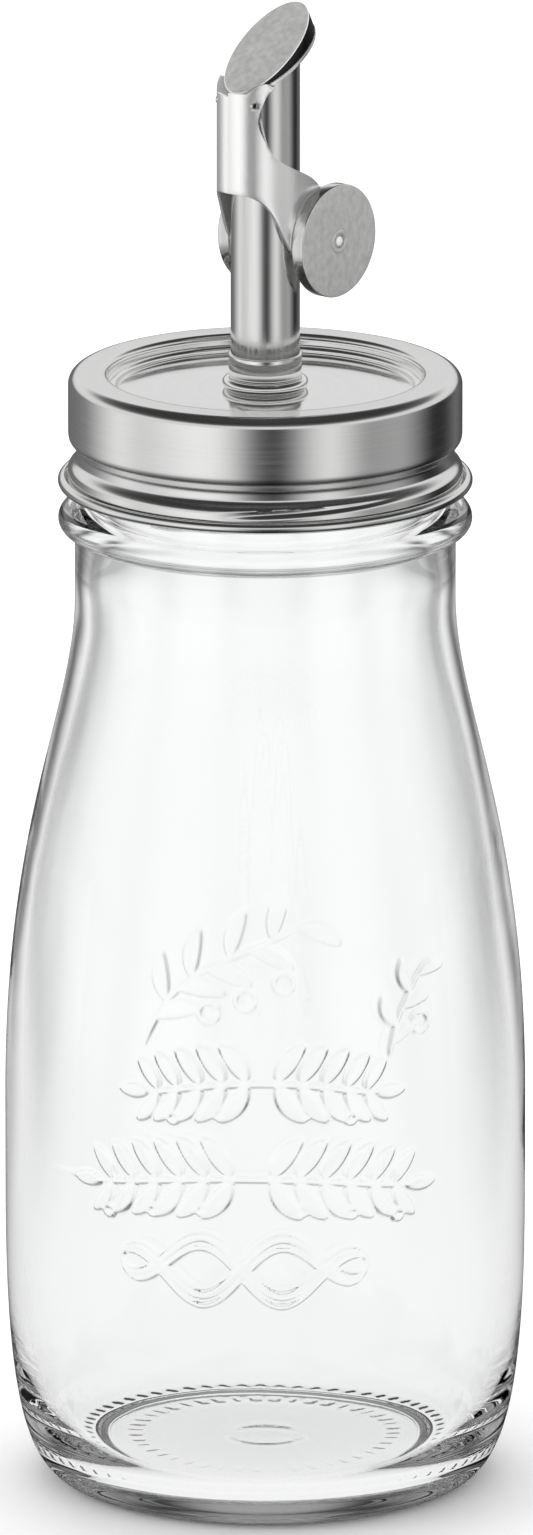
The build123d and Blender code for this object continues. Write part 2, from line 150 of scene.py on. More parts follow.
class Skin:
    """A surface built from rings about the Z axis, taken in order along an outline."""

    def __init__(self) -> None:
        """Starts with no vertices."""
        self.points: list[np.ndarray] = []
        self.quads: list[np.ndarray] = []
        self.tris: list[np.ndarray] = []
        self.total = 0
        self.first: tuple | None = None
        self.last: tuple | None = None

    def _add(self, points: np.ndarray) -> np.ndarray:
        """Keeps points and returns their indices."""
        ids = self.total + np.arange(len(points))
        self.points.append(points)
        self.total += len(points)
        return ids

    def pole(self, height: float) -> None:
        """Adds a point on the axis, joined to the last ring, or to the next one if there is none yet.

        Args:
            height: its height.
        """
        ids = self._add(np.array([[0.0, 0.0, height]]))
        if self.last is not None:
            ring = self.last[0]
            self.tris.append(np.stack([ring, np.roll(ring, -1), np.full_like(ring, ids[0])], 1))
        self.last = (ids, None)

    def band(self, angles: np.ndarray, radius: np.ndarray, height: np.ndarray) -> None:
        """Adds rows of rings that share their angles; each point is (r cos a, r sin a, z).

        Args:
            angles: rising angles in radians, the first of them 0.
            radius: radii, rows by angles or one for each row.
            height: heights, in the same form.
        """
        shape = (max(len(radius), len(height)), len(angles))
        r, z = (np.broadcast_to(a if a.ndim == 2 else a[:, None], shape) for a in (radius, height))
        grid = np.stack([r * np.cos(angles), r * np.sin(angles), z], -1)
        ids = self._add(grid.reshape(-1, 3)).reshape(shape)
        across = np.roll(ids, -1, axis=1)
        self.quads.append(np.stack([ids[:-1], across[:-1], across[1:], ids[1:]], -1).reshape(-1, 4))
        if self.last is not None:
            self._join(self.last, (ids[0], angles))
        else:
            self.first = (ids[0], angles)
        self.last = (ids[-1], angles)

    def _join(self, low: tuple, high: tuple) -> None:
        """Fills the gap between two rings of any two counts, with one triangle for each of their edges."""
        a, angle_a = low
        b, angle_b = high
        if angle_a is None:
            self.tris.append(np.stack([np.full_like(b, a[0]), np.roll(b, -1), b], 1))
            return
        full = 2 * math.pi
        next_a = np.append(angle_a[1:], full)
        next_b = np.append(angle_b[1:], full)
        over = np.searchsorted(np.append(angle_b, full), next_a, side="right") - 1
        under = np.searchsorted(np.append(angle_a, full), next_b, side="left") - 1
        self.tris.append(np.stack([a, np.roll(a, -1), b[over % len(b)]], 1))
        self.tris.append(np.stack([a[under % len(a)], np.roll(b, -1), b], 1))

    def close(self) -> None:
        """Joins the last ring to the first one, for an outline that is a closed loop."""
        self._join(self.last, self.first)

    def mesh(self, name: str, place: np.ndarray | None = None) -> bpy.types.Object:
        """Makes the Blender object, in metres, with its place in its mesh.

        Args:
            name: name of the piece.
            place: 4 x 4 matrix in millimetres that moves the surface, or None.
        Returns:
            The new object, shaded smooth.
        """
        points = np.concatenate(self.points)
        if place is not None:
            points = points @ place[:3, :3].T + place[:3, 3]
        return mesh_object(name, points * MM, np.concatenate(self.quads), self.tris)


def mesh_object(name: str, points: np.ndarray, quads: np.ndarray, tris: list) -> bpy.types.Object:
    """Puts arrays of vertices and faces into a new object.

    Args:
        name: name of the object and its mesh.
        points: vertices in metres.
        quads: faces of four.
        tris: list of arrays of faces of three.
    Returns:
        The linked object, shaded smooth.
    """
    three = np.concatenate(tris) if tris else np.zeros((0, 3), int)
    mesh = bpy.data.meshes.new(name)
    mesh.vertices.add(len(points))
    mesh.vertices.foreach_set("co", points.astype(np.float32).ravel())
    corners = np.concatenate([quads.ravel(), three.ravel()]).astype(np.int32)
    mesh.loops.add(len(corners))
    mesh.loops.foreach_set("vertex_index", corners)
    starts = np.concatenate([np.arange(len(quads)) * 4, len(quads) * 4 + np.arange(len(three)) * 3])
    mesh.polygons.add(len(starts))
    mesh.polygons.foreach_set("loop_start", starts.astype(np.int32))
    mesh.polygons.foreach_set("use_smooth", np.ones(len(starts), bool))
    mesh.update(calc_edges=True)
    mesh.validate()
    piece = bpy.data.objects.new(name, mesh)
    bpy.context.scene.collection.objects.link(piece)
    return piece


def face_vectors(piece: bpy.types.Object, kind: str) -> np.ndarray:
    """The normal or center of each of a piece's faces, one row for each."""
    vectors = np.empty(3 * len(piece.data.polygons), np.float32)
    piece.data.polygons.foreach_get(kind, vectors)
    return vectors.reshape(-1, 3)


def finish_faces(piece: bpy.types.Object, chosen: np.ndarray, index: int) -> None:
    """Gives the chosen faces the piece's material of this index and leaves the others."""
    indices = np.empty(len(piece.data.polygons), np.int32)
    piece.data.polygons.foreach_get("material_index", indices)
    indices[chosen] = index
    piece.data.polygons.foreach_set("material_index", indices)


def attach(piece: bpy.types.Object, body: Body, node: str) -> bpy.types.Object:
    """Rides a piece on its body, in place of its CAD node, and returns it."""
    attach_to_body(piece, body.value)
    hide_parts(node)
    return piece


def even_angles(count: int) -> np.ndarray:
    """Evenly spaced angles round a full turn, from 0."""
    return np.arange(count) * 2 * math.pi / count


def lathe(name: str, outline: np.ndarray, count: int, sharp_deg: float = 40.0,
          place: np.ndarray | None = None) -> bpy.types.Object:
    """Turns an outline about Z: a closed loop, or one whose ends lie on the axis, which gets poles.

    Args:
        name: name of the piece.
        outline: (radius, height) points.
        count: number of columns.
        sharp_deg: edges that bend more than this are shaded sharp.
        place: matrix in millimetres, or None.
    Returns:
        The new object.
    """
    skin = Skin()
    if outline[0, 0] < TINY:
        skin.pole(outline[0, 1])
        skin.band(even_angles(count), outline[1:-1, 0], outline[1:-1, 1])
        skin.pole(outline[-1, 1])
    else:
        skin.band(even_angles(count), outline[:, 0], outline[:, 1])
        skin.close()
    piece = skin.mesh(name, place)
    piece.data.set_sharp_from_angle(angle=math.radians(sharp_deg))
    return piece


# ---------------------------------------------------------------- raised ornament

@dataclass(frozen=True)
class Stroke:
    """One raised stroke on the unrolled wall: a path with a half width at each of its points."""

    path: np.ndarray
    half_width: np.ndarray
    height: float


@dataclass
class Ornament:
    """Plain olive sprigs, two garlands of olive branches and a crossing ribbon below them.

    Its plane is the unrolled wall: u to the right of the front line and v up from the table.
    """

    height: float = 0.43
    faint: float = 0.26
    edge: float = 0.5
    stem_points: int = 90
    stem_half: float = 0.42
    branch_leaf: float = 0.36
    branch_lean: float = 52.0
    olive_r: float = 0.75
    olive_half: float = 0.35
    twig_half: float = 0.34
    twig_leaf: float = 0.34
    vein_half: float = 0.05
    fruit_r: float = 1.5
    fruit_half: float = 0.3
    strands: tuple = ((0.0, 0.6), (1.7, 0.34))

    @staticmethod
    def leaf(foot: tuple, angle_deg: float, length: float, width: float, height: float,
             bend: float = 0.1) -> Stroke:
        """A leaf of half width width / 2 * sin(pi t)^0.8, whose axis bows by bend * length * sin(pi t).

        Args:
            foot: where the leaf leaves its stem.
            angle_deg: direction of the leaf.
            length: its length.
            width: its widest part.
            height: how far it stands out.
            bend: bow of the axis as a share of the length.
        Returns:
            The leaf as a stroke.
        """
        t = np.linspace(0, 1, 13)
        a = math.radians(angle_deg)
        side = bend * length * np.sin(math.pi * t)
        path = np.stack([foot[0] + t * length * math.cos(a) - side * math.sin(a),
                         foot[1] + t * length * math.sin(a) + side * math.cos(a)], 1)
        return Stroke(path, 0.5 * width * np.sin(math.pi * t) ** 0.8 + 0.12, height)

    @staticmethod
    def line(points: np.ndarray, half_width: float, height: float) -> Stroke:
        """A stroke of one half width that thins over the first and last tenth of its points."""
        t = np.linspace(0, 1, len(points))
        return Stroke(points, half_width * (0.35 + 0.65 * smooth(np.minimum(t, 1 - t) * 10)), height)

    def garland(self, left: float, right: float, height: float, arch: float, pairs: int,
                length: float) -> list[Stroke]:
        """Two olive branches that meet in the middle of a stem of height + arch * sin(pi t).

        Each has pairs of leaves that lean away from the middle, with an olive between every two pairs.

        Args:
            left: left end of the stem.
            right: right end of the stem.
            height: height of the stem's ends.
            arch: how far the middle stands over the ends.
            pairs: pairs of leaves on each branch.
            length: length of the largest leaf.
        Returns:
            The stem, its leaves and its olives.
        """
        t = np.linspace(0, 1, self.stem_points)
        stem = np.stack([left + (right - left) * t, height + arch * np.sin(math.pi * t)], 1)
        strokes = [self.line(stem, self.stem_half, self.height)]
        for way in (-1, 1):
            ahead = 0 if way > 0 else 180
            for k, at in enumerate(np.linspace(0.06, 0.46, pairs)):
                foot = stem[int(round((0.5 + way * at) * (self.stem_points - 1)))]
                size = length * (1 - 0.25 * (2 * at) ** 2)
                for side in (1, -1):
                    lean = ahead + way * side * self.branch_lean
                    strokes.append(self.leaf(foot + (0, 0.3 * side), lean, size, self.branch_leaf * size,
                                             self.height, 0.06 * way * side))
                if k % 2:
                    olive = turn(foot + (way * 0.1 * length, -0.62 * length), self.olive_r, 0, 360, 16)
                    strokes.append(self.line(olive, self.olive_half, self.height))
            tip = stem[0 if way < 0 else -1]
            strokes.append(self.leaf(tip, ahead, 0.7 * length, 0.26 * length, self.height, 0.0))
        return strokes

    def sprig(self, stem: np.ndarray, leaves: int, length: float, fruit: tuple) -> list[Stroke]:
        """A thin stem with leaves on alternate sides and round olives, all of which stand out only a little.

        Args:
            stem: points of the stem.
            leaves: number of leaves.
            length: length of a leaf.
            fruit: centres of the olives.
        Returns:
            The stem, the leaves with their veins, and the olives.
        """
        strokes = [self.line(stem, self.twig_half, self.faint)]
        for k, at in enumerate(np.linspace(0.15, 0.98, leaves)):
            i = min(int(at * (len(stem) - 1)), len(stem) - 2)
            d = stem[i + 1] - stem[i]
            lean = math.degrees(math.atan2(d[1], d[0])) + (48 if k % 2 else -46)
            leaf = self.leaf(stem[i], lean, length, self.twig_leaf * length, self.faint)
            vein = Stroke(leaf.path, np.full(len(leaf.path), self.vein_half), self.faint * 0.6)
            strokes += [leaf, vein]
        return strokes + [self.line(turn(middle, self.fruit_r, 0, 360, 24), self.fruit_half, self.faint)
                          for middle in fruit]

    def ribbon(self, left: float, right: float, middle: float, reach: float) -> list[Stroke]:
        """Two doubled strands that cross: v = middle +- reach * sin(pi t)^0.4 * cos(3 pi t).

        Args:
            left: left end.
            right: right end.
            middle: height at which the strands cross.
            reach: how far they swing.
        Returns:
            Four strokes.
        """
        t = np.linspace(0, 1, 110)
        u = left + (right - left) * t
        taper = np.sin(math.pi * t) ** 0.4
        swing = reach * taper * np.sin(3 * math.pi * t + 0.5 * math.pi)
        return [self.line(np.stack([u, middle + way * swing - gap * taper], 1), half, self.height)
                for way in (1, -1) for gap, half in self.strands]

    def strokes(self) -> list[Stroke]:
        """Every stroke, from the top sprigs down to the ribbon."""
        long_stem = bow((-18.5, 74.0), (-14.0, 86.0), (-8.0, 86.0), (6.5, 92.5), 30)
        short_stem = bow((19.0, 71.5), (19.5, 77.0), (22.0, 80.0), (25.0, 84.0), 20)
        return (self.sprig(long_stem, 9, 7.2, ((-3.0, 81.5), (-8.5, 79.5), (2.8, 84.0)))
                + self.sprig(short_stem, 5, 5.0, ((24.5, 76.5),))
                + self.garland(-17.5, 16.5, 67.0, 2.2, 5, 6.8)
                + self.garland(-25.5, 21.5, 52.5, 2.4, 6, 7.2)
                + self.ribbon(-22.0, 15.2, 41.6, 4.6))

    def relief(self, u: np.ndarray, v: np.ndarray) -> np.ndarray:
        """Height of the relief at points of the wall, where the highest stroke wins.

        A stroke's height is a smooth step of (half width - distance), as a share of the edge, at the path's
        segment where that is largest.

        Args:
            u: arc lengths from the front line.
            v: heights, in the same form.
        Returns:
            Heights, in the same form.
        """
        flat = np.stack([u.ravel(), v.ravel()], 1)
        out = np.zeros(len(flat))
        for stroke in self.strokes():
            margin = stroke.half_width.max() + self.edge
            low, high = stroke.path.min(0) - margin, stroke.path.max(0) + margin
            near = np.flatnonzero(((flat > low) & (flat < high)).all(1))
            if not len(near):
                continue
            a, b = stroke.path[:-1], stroke.path[1:]
            d = b - a
            long = np.maximum((d * d).sum(1), 1e-9)
            p = flat[near][:, None] - a
            t = np.clip((p * d).sum(2) / long, 0, 1)
            gap = np.linalg.norm(p - t[..., None] * d, axis=2)
            width = stroke.half_width[:-1] * (1 - t) + stroke.half_width[1:] * t
            inside = (width - gap).max(1) + self.edge / 2
            out[near] = np.maximum(out[near], stroke.height * smooth(inside / self.edge))
        return out.reshape(u.shape)


# ---------------------------------------------------------------- glass

@dataclass
class GlassBottle:
    """Blown glass body with a screw finish, a raised ornament and a knurled bearing ring."""

    body_r: float = 38.1
    straight_low: float = 42.6
    straight_high: float = 57.3
    foot_r: float = 27.6
    foot_half_width: float = 0.6
    heel_swell: float = 7.6
    heel_share: float = 0.34
    heel_inside_swell: float = 10.5
    heel_inside_share: float = 0.36
    heel_split: int = 12
    shoulder_low: float = 0.563
    shoulder_high: float = 0.233
    push_up: float = 1.8
    push_up_edge: float = 4.0
    base_glass: float = 2.4
    wall: float = 2.3
    height: float = 164.2
    neck_r: float = 27.75
    neck_low: float = 132.8
    mouth_r: float = 24.0
    finish_r: float = 26.2
    bead_r: float = 30.15
    bead_section_r: float = 1.75
    bead_z: float = 144.5
    bead_foot: float = 0.3
    bead_ease: float = 0.25
    seat_drop: float = 0.9
    rim_round: float = 0.9
    thread_depth: float = 1.2
    thread_half: float = 0.7
    thread_lead: float = 7.25
    thread_sweep_deg: float = 170.0
    thread_top_drop: float = 11.9
    front_deg: float = 220.3
    ornament_low: float = 34.4
    ornament_high: float = 95.0
    ornament_half: float = 30.5
    ornament_step: float = 0.3
    knurls: int = 60
    knurl_depth: float = 0.3
    knurl_width: float = 2.4
    marks: int = 44
    mark_depth: float = 0.1
    mark_r: float = 19.6
    mark_reach: float = 1.35
    mark_halves: tuple = (0.62, 0.3)
    # Radius and dip, as a share of the marks' depth, of the ring round the middle of the base
    button: tuple = ((1.5, 0), (4.2, 0), (4.9, 1), (5.5, 1), (6.2, 0), (8.0, 0))
    waver: float = 0.05
    ornament: Ornament = field(default_factory=Ornament)

    def shoulder(self, straight_r: float, neck_r: float, count: int) -> np.ndarray:
        """Curve from the straight wall to the neck; its handles are shares of the shoulder's height."""
        low, high = self.straight_high, self.neck_low
        return bow((straight_r, low), (straight_r, low + self.shoulder_low * (high - low)),
                   (neck_r, high - self.shoulder_high * (high - low)), (neck_r, high), count)

    def heel(self) -> np.ndarray:
        """Curve from the foot to the straight wall."""
        out = self.foot_r + self.foot_half_width
        return bow((out, 0), (out + self.heel_swell, 0), (self.body_r, self.heel_share * self.straight_low),
                   (self.body_r, self.straight_low), 60)

    def underside(self, skin: Skin) -> None:
        """Push-up, bearing ring and lower heel, with a ring of plain marks and the knurls.

        The marks lower the surface by depth * a box in angle and radius with smooth sides. The knurls lift
        the glass just outside the foot by depth * (1 - |sin(n a / 2)|) times a window over their width.
        """
        skin.pole(self.push_up)
        radii, dips = np.array(self.button).T
        skin.band(even_angles(96), radii, self.push_up - self.mark_depth * dips)
        foot_in = self.foot_r - self.foot_half_width
        out = self.foot_r + self.foot_half_width
        edge = self.push_up_edge
        marks_in, marks_out = self.mark_r - 1.8, self.mark_r + 1.8
        lines = trail(run((12.0, self.push_up), (marks_in, self.push_up), 1),
                      run((marks_in, self.push_up), (marks_out, self.push_up), 7),
                      bow((foot_in - edge, self.push_up), (foot_in - 0.4 * edge, self.push_up),
                          (foot_in - 0.3 * edge, 0), (foot_in, 0), 7),
                      run((foot_in, 0), (out, 0), 2), self.heel()[:self.heel_split])
        angles = even_angles(360)
        r, z = (np.broadcast_to(c[:, None], (len(lines), len(angles))).copy() for c in lines.T)
        phase = angles * self.marks / (2 * math.pi)
        half = np.where(np.floor(phase) % 3 != 0, *self.mark_halves)
        along = smooth((half - np.abs(phase % 1 - 0.5) * 2) / 0.25)
        z -= self.mark_depth * along * smooth((self.mark_reach - np.abs(r - self.mark_r)) / 0.5)
        fall = smooth((out + self.knurl_width - r) / (self.knurl_width - 0.2))
        window = smooth((r - self.foot_r) / 0.6) * fall
        z += self.knurl_depth * window * (1 - np.abs(np.sin(angles * self.knurls / 2)))
        skin.band(angles, r, np.maximum(z, 0))

    def wall_band(self, skin: Skin) -> None:
        """Outer wall from the heel to the shoulder, with close columns at the front for the ornament."""
        heel = self.heel()
        low = heel[self.heel_split:][heel[self.heel_split:, 1] < self.ornament_low]
        skin.band(even_angles(128), low[:, 0], low[:, 1])
        outline = trail(heel, run((self.body_r, self.straight_low), (self.body_r, self.straight_high), 8),
                        self.shoulder(self.body_r, self.neck_r, 60))
        z = np.arange(self.ornament_low, self.ornament_high, self.ornament_step)
        r = np.interp(z, outline[:, 1], outline[:, 0])
        half = self.ornament_half / self.body_r
        front = math.radians(self.front_deg)
        close = front + np.linspace(-half, half, int(2 * self.ornament_half / self.ornament_step))
        wide = math.radians(5.0)
        angles = np.concatenate([np.arange(0, close[0] - wide / 2, wide), close,
                                 np.arange(close[-1] + wide, 2 * math.pi - wide / 2, wide)])
        u = np.broadcast_to((angles - front) * self.body_r, (len(z), len(angles)))
        v = np.broadcast_to(z[:, None], u.shape)
        skin.band(angles, r[:, None] + self.ornament.relief(u, v), v)

    def finish_band(self, skin: Skin) -> None:
        """Upper shoulder, neck, bead and threaded finish up to the rim.

        A thread ridge climbs by the lead over its sweep, with a smooth step on either flank and at its ends.
        """
        shoulder = self.shoulder(self.body_r, self.neck_r, 60)
        core = self.bead_r - self.bead_section_r
        low = self.bead_z - self.bead_section_r
        high = self.bead_z + self.bead_section_r
        seat = high + self.seat_drop
        foot = low - self.bead_foot
        lines = trail(shoulder[shoulder[:, 1] > self.ornament_high][::2],
                      run((self.neck_r, self.neck_low), (self.neck_r, foot - self.bead_ease), 3),
                      bow((self.neck_r, foot - self.bead_ease), (self.neck_r, foot), (self.neck_r, low),
                          (core, low), 5),
                      turn((core, self.bead_z), self.bead_section_r, -90, 90, 18),
                      bow((core, high), (self.finish_r + 0.4, seat - 0.8), (self.finish_r, seat - 0.4),
                          (self.finish_r, seat + 0.5), 6))
        angles = even_angles(180)
        skin.band(angles, lines[:, 0], lines[:, 1])
        rim = self.height - self.rim_round
        z = np.arange(seat + 0.7, rim, 0.34)
        low_end = self.height - self.thread_top_drop - self.thread_lead * self.thread_sweep_deg / 360
        ridge = np.zeros((len(z), len(angles)))
        sweep = math.radians(self.thread_sweep_deg)
        for start in (0, math.pi):
            along = (angles - start) % (2 * math.pi)
            middle = low_end + self.thread_lead * along / (2 * math.pi)
            fade = smooth(np.minimum(along, sweep - along) / math.radians(7))
            flank = smooth((self.thread_half - np.abs(z[:, None] - middle)) / 0.5)
            ridge = np.maximum(ridge, fade * flank)
        skin.band(angles, self.finish_r + self.thread_depth * ridge, z)
        top = trail(turn((self.finish_r - self.rim_round, rim), self.rim_round, 0, 90, 6),
                    turn((self.mouth_r + self.rim_round, rim), self.rim_round, 90, 180, 6))
        skin.band(angles, top[:, 0], top[:, 1])

    def inside(self, skin: Skin) -> None:
        """Bore, inner shoulder, inner wall and floor.

        Blown glass is never even, so the wall's radius wavers by two slow sine waves in angle and height.
        """
        neck = self.neck_r - self.wall
        inner = self.body_r - self.wall
        floor = self.push_up + self.base_glass
        core = self.foot_r - self.foot_half_width - self.push_up_edge
        high = self.bead_z + self.bead_section_r
        lines = trail(run((self.mouth_r, self.height - self.rim_round - 1), (self.mouth_r, high + 1), 3),
                      bow((self.mouth_r, high + 1), (self.mouth_r, high - 5), (neck, self.neck_low + 6),
                          (neck, self.neck_low), 12),
                      self.shoulder(inner, neck, 24)[::-1],
                      run((inner, self.straight_high), (inner, self.straight_low), 3),
                      bow((inner, self.straight_low), (inner, self.heel_inside_share * self.straight_low),
                          (core + self.heel_inside_swell, floor), (core, floor), 22))
        angles = even_angles(120)
        z = np.broadcast_to(lines[:, 1:], (len(lines), len(angles)))
        share = smooth((z - floor) / 12) * smooth((self.neck_low - z) / 8)
        wave = np.sin(3 * angles + z / 13) + 0.7 * np.sin(5 * angles - z / 8 + 1)
        skin.band(angles, lines[:, :1] + self.waver * share * wave, z)
        skin.band(even_angles(60), np.array([16.0, 8.0, 2.0]), np.full(3, floor))
        skin.pole(floor)

    def build(self) -> bpy.types.Object:
        """Makes the bottle as one closed skin, from the middle of its underside to that of its floor."""
        skin = Skin()
        for part in (self.underside, self.wall_band, self.finish_band, self.inside):
            part(skin)
        return attach(skin.mesh("bottle_glass"), Body.BOTTLE, "glass_bottle")


# ---------------------------------------------------------------- lid

@dataclass
class ScrewBand:
    """Band of thin sheet with a rolled ring groove, rolled thread runs and an outward curl."""

    sheet: float = 0.45
    radius: float = 28.7
    shoulder_r: float = 1.8
    opening_r: float = 23.0
    lower_r: float = 28.8
    groove_r: float = 27.4
    top: float = 166.2
    groove_drop: float = 12.2
    skirt_h: float = 9.6
    band_h: float = 16.9
    curl_r: float = 30.2
    curl_section_r: float = 0.8
    lip: float = 0.45
    # Half width and sharpness of the ring groove over and under its middle
    groove_above: tuple = (2.0, 3.6)
    groove_below: tuple = (1.3, 2.6)
    run_drop: float = 2.35
    run_half: float = 0.55
    run_depth: float = 0.55
    thread_lead: float = 7.25
    front_deg: float = 220.3
    columns: int = 240

    def middle_line(self) -> np.ndarray:
        """Middle of the sheet from the opening's edge over the shoulder and down to the end of the curl."""
        half = self.sheet / 2
        bend = self.shoulder_r - half
        edge = self.radius - self.shoulder_r
        skirt_r, lower_r = self.radius - half, self.lower_r - half
        skirt_z = self.top - self.skirt_h
        curl_z = self.top - self.band_h + self.curl_section_r
        curl_r = self.curl_r - self.curl_section_r
        curl = self.curl_section_r - half
        flat = self.top - half
        lip, lip_r = self.lip, self.opening_r + self.lip + 0.2
        return trail(turn((lip_r, flat - lip), lip, 170, 90, 5),
                     run((lip_r, flat), (edge, flat), 5),
                     turn((edge, flat - bend), bend, 90, 0, 12),
                     run((skirt_r, flat - bend), (skirt_r, skirt_z), 14),
                     run((skirt_r, skirt_z), (lower_r, curl_z + 0.9), 34),
                     bow((lower_r, curl_z + 0.9), (lower_r, curl_z - 0.1), (curl_r - 0.6, curl_z - curl),
                         (curl_r, curl_z - curl), 6),
                     turn((curl_r, curl_z), curl, -90, 100, 14))

    def rolled(self, angles: np.ndarray, z: np.ndarray) -> np.ndarray:
        """How far the rolls press the sheet inwards.

        Each roll is depth * exp(-|x|^n), with x the height from its middle line over its half width, and a
        larger n for a sharper bend. The ring groove is level. Two thread runs climb and fade at their ends.

        Args:
            angles: angles in radians.
            z: heights of the middle line, as a column.
        Returns:
            Depths, heights by angles.
        """
        ring = self.top - self.groove_drop
        above = z > ring
        half = np.where(above, self.groove_above[0], self.groove_below[0])
        bend = np.where(above, self.groove_above[1], self.groove_below[1])
        groove = np.exp(-np.abs((z - ring) / half) ** bend)
        press = (self.radius - self.groove_r) * groove * np.ones_like(angles)
        sweep = math.radians(120)
        for start in (0, math.pi):
            along = (angles - math.radians(self.front_deg) - start + math.radians(20)) % (2 * math.pi)
            middle = ring - self.run_drop + self.thread_lead * along / (2 * math.pi)
            fade = smooth(np.minimum(along, sweep - along) / math.radians(26))
            roll = np.exp(-np.abs((z - middle) / self.run_half) ** self.groove_below[1])
            press = np.maximum(press, self.run_depth * fade * roll)
        return press

    def build(self) -> bpy.types.Object:
        """Makes the band from its sheet outline with the rolls pressed in."""
        middle = self.middle_line()
        outline = sheet_outline(middle, self.sheet)
        r_middle, z_middle = np.concatenate([middle, middle[::-1]]).T[:, :, None]
        skirt = r_middle > self.radius - self.sheet
        curl_top = self.top - self.band_h + 2 * self.curl_section_r
        angles = even_angles(self.columns)
        press = self.rolled(angles, z_middle) * skirt * smooth((z_middle - curl_top + 0.1) / 0.5)
        skin = Skin()
        skin.band(angles, outline[:, :1] - press, outline[:, 1:] + 0 * press)
        skin.close()
        piece = skin.mesh("band_shell")
        piece.data.set_sharp_from_angle(angle=math.radians(50))
        return attach(piece, Body.BAND, "screw_band")


@dataclass
class LidDisc:
    """Pressed disc with a stepped recess whose bends are round."""

    sheet: float = 0.45
    edge_r: float = 26.9
    top: float = 165.75
    recess_r: float = 22.85
    recess_depth: float = 1.15
    step_width: float = 1.4
    step_depth: float = 0.8
    hole_r: float = 5.09
    bend: float = 0.36
    columns: int = 180

    def build(self) -> bpy.types.Object:
        """Makes the disc: its middle line steps down twice with an arc at each bend."""
        half = self.sheet / 2
        high = self.top - half
        ledge = high - self.recess_depth
        panel = ledge - self.step_depth
        wall = self.recess_r + half
        inner = wall - self.step_width
        b = self.bend
        middle = trail(run((self.edge_r, high), (wall + b, high), 3),
                       turn((wall + b, high - b), b, 90, 180, 6),
                       turn((wall - b, ledge + b), b, 0, -90, 6),
                       turn((inner + b, ledge - b), b, 90, 180, 6),
                       turn((inner - b, panel + b), b, 0, -90, 6),
                       run((inner - b, panel), (self.hole_r, panel), 10))
        piece = lathe("lid_panel", sheet_outline(middle, self.sheet)[::-1], self.columns, 50)
        return attach(piece, Body.LID, "lid_disc")


@dataclass
class SpoutCollar:
    """Rolled collar with a sleeve that grips the tube."""

    tube_r: float = 5.04
    bead_r: float = 6.3
    bead_h: float = 1.8
    sleeve: float = 0.3
    sleeve_h: float = 5.2
    lip: float = 0.12
    seat: float = 163.8

    def build(self) -> bpy.types.Object:
        """Makes the collar: a round bead on a short undercut, then the sleeve with a rounded top edge."""
        bead = self.bead_h / 2 - 0.1
        reach = self.bead_r - bead
        sleeve_r = self.tube_r + self.sleeve
        top = self.seat + self.sleeve_h
        outline = trail(run((self.tube_r, self.seat), (sleeve_r + 0.3, self.seat), 1),
                        turn((reach, self.seat + self.bead_h / 2), bead, -105, 125, 16),
                        run((sleeve_r, self.seat + self.bead_h + 0.2), (sleeve_r, top - self.lip), 3),
                        turn((sleeve_r - self.lip, top - self.lip), self.lip, 0, 90, 3),
                        run((sleeve_r - 0.2, top), (self.tube_r, top), 1))
        return attach(lathe("collar_ring", outline, 96, 60), Body.LID, "spout_collar")


# ---------------------------------------------------------------- flap

def cross_axis(x: float, z: float, side: int) -> np.ndarray:
    """Matrix that lays a piece turned about Z along the Y axis, with its top towards side * Y."""
    matrix = np.eye(4)
    matrix[:3, :3] = np.array([[0, side, 0], [0, 0, side], [1, 0, 0]])
    matrix[:3, 3] = (x, 0, z)
    return matrix


@dataclass
class Counterweights:
    """The two steel discs and the solid rivets with a grooved head that hold them."""

    radius: float = 8.34
    thick: float = 2.1
    edge: float = 0.28
    inside: float = 6.0
    bore: float = 1.3
    x: float = 7.07
    z: float = 185.652
    head_r: float = 1.8
    groove_r: float = 1.1
    groove_depth: float = 0.35
    centre_r: float = 0.7
    head: float = 0.2
    sheet: float = 0.45

    def disc(self) -> np.ndarray:
        """Outline of a disc with a bore and rounded edges."""
        e, low, high = self.edge, self.inside, self.inside + self.thick
        rim = self.radius - e
        return trail(run((self.bore, low), (rim, low), 5), turn((rim, low + e), e, -90, 0, 5),
                     turn((rim, high - e), e, 0, 90, 5), run((rim, high), (self.bore, high), 7),
                     run((self.bore, high), (self.bore, low), 1))[:-1]

    def rivet(self) -> np.ndarray:
        """Outline of a rivet: a flat inner head, and an outer head with a domed centre in a groove."""
        low, high = self.inside - self.sheet, self.inside + self.thick
        groove = high - self.groove_depth
        swell = (self.head_r - self.groove_r) / 2
        crown = turn((self.groove_r + swell, 0), swell, 0, 180, 8)
        crown[:, 1] *= self.head / swell
        dome = turn((0, 0), self.centre_r, 0, 90, 8)
        dome[:, 1] *= self.head / self.centre_r
        return trail(run((0, low - self.head), (self.head_r, low - self.head), 1),
                     run((self.head_r, low), (self.bore, low), 1),
                     run((self.bore, high), (self.head_r, high), 1),
                     crown + (0, high), run((self.groove_r, high), (self.groove_r, groove), 1),
                     run((self.centre_r, groove), (self.centre_r, high), 1), dome + (0, high))

    def in_dome(self, piece: bpy.types.Object) -> np.ndarray:
        """Which faces of a rivet lie within the domed centre's radius of the rivet's axis."""
        off_axis = face_vectors(piece, "center")[:, ::2] / MM - (self.x, self.z)
        return np.hypot(*off_axis.T) < self.centre_r

    def build(self) -> tuple[list, list]:
        """Makes the two discs and the two rivets."""
        discs, rivets = [], []
        for side, hand in ((1, "left"), (-1, "right")):
            place = cross_axis(self.x, self.z, side)
            disc = lathe("weight_disc_" + hand, self.disc(), 128, 30, place)
            discs.append(attach(disc, Body.FLAP, "counterweight_" + hand))
            rivet = lathe("rivet_" + hand, self.rivet(), 48, 50, place)
            rivets.append(attach(rivet, Body.FLAP, "weight_rivet_" + hand))
        return discs, rivets


